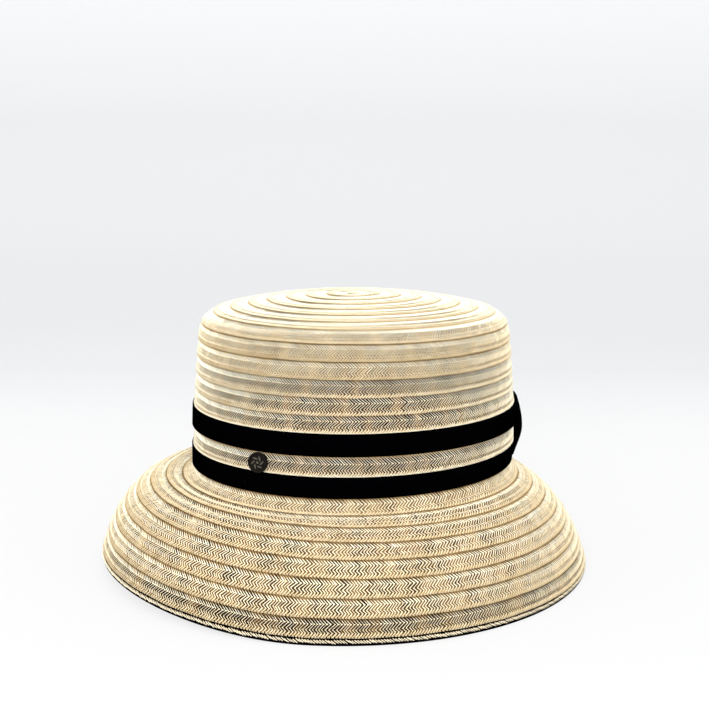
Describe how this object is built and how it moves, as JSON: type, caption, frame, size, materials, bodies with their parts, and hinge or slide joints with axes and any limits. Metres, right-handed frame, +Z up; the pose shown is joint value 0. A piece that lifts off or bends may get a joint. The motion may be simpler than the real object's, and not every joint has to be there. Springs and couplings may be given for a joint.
{
  "type": "cloche hat",
  "caption": "Sewn straw cloche hat with a flat-topped crown, a bell brim, ribbon bands and a black ribbon facing inside the rim.",
  "frame": {"origin": "under the middle of the whole hat's box, on the surface that the rim rests on", "axes": "+Z up through the crown, the front of the hat faces -Y, the wearer's left is +X"},
  "size_m": [0.2776, 0.3094, 0.1717],
  "materials": {
    "straw": "natural straw braid, satin",
    "ribbon": "black grosgrain, matte",
    "stud_metal": "dark antique, satin"
  },
  "bodies": {
    "root": {"crown": "straw", "brim": "straw", "lower_band": "ribbon", "upper_band": "ribbon", "band_keeper": "ribbon", "badge_stud": "stud_metal", "edge_tape": "ribbon", "sweatband": "ribbon"}
  },
  "joints": []
}
